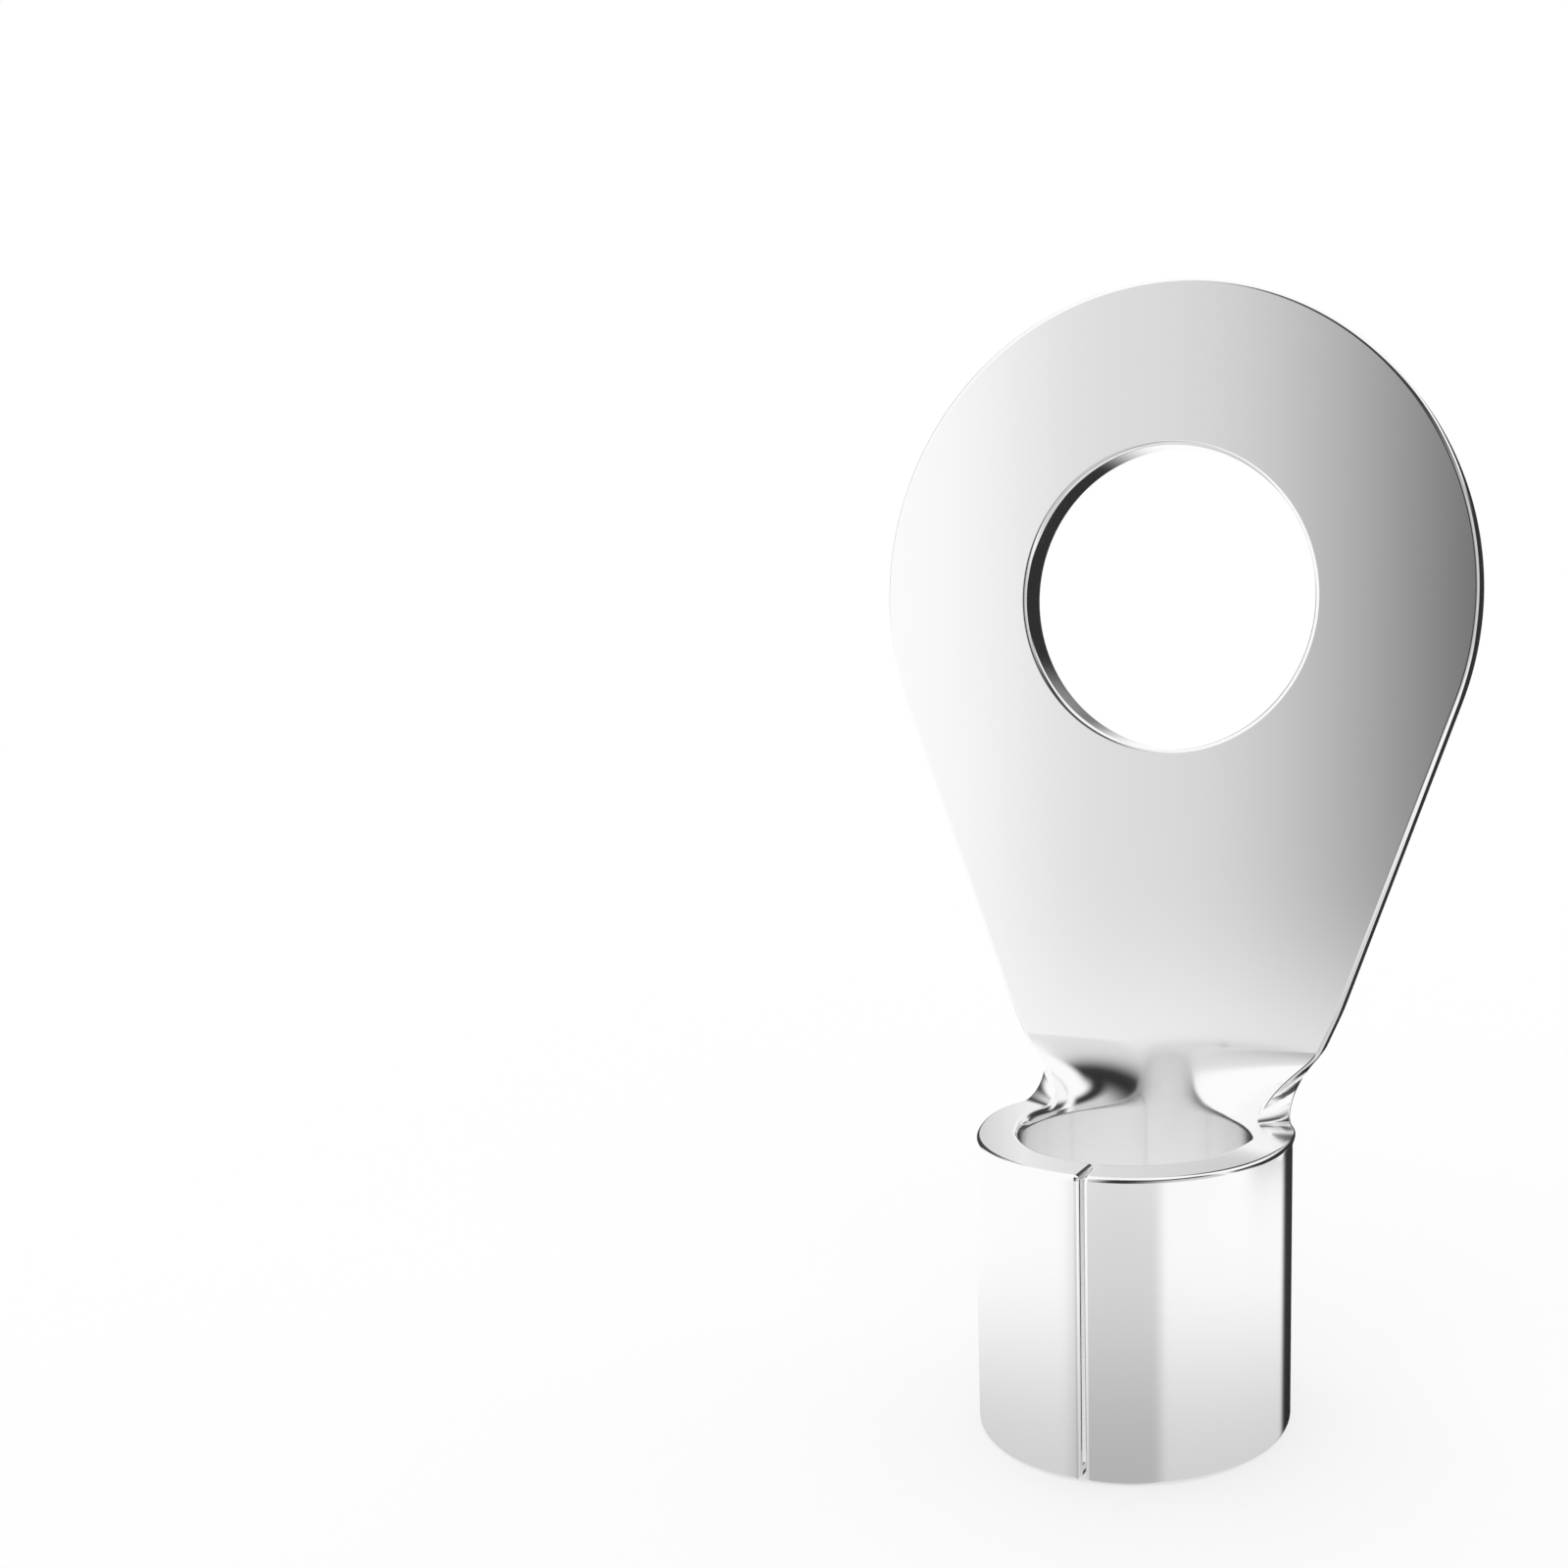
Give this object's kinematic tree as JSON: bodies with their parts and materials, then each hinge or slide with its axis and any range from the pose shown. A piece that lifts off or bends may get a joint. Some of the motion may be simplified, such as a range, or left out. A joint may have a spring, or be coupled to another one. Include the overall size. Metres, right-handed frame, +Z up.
{
  "type": "ring terminal",
  "caption": "Non-insulated ring terminal formed from one tin-plated copper sheet: a round eye with a stud hole, a tapering flat tongue, a bent neck and a rolled barrel with a butt seam.",
  "frame": {"origin": "middle of the barrel's foot, on the barrel's axis, which is the bottom of the part as it stands", "axes": "+Z up the barrel to the eye; -Y towards the barrel's seam; +Y out of the tongue's flat back; X across the tongue"},
  "size_m": [0.0172, 0.0086, 0.0309],
  "materials": {
    "tin_plate": "bright tin plate on copper, smooth with a faint satin sheen"
  },
  "bodies": {
    "root": {"ring_terminal": "tin_plate"}
  },
  "joints": []
}
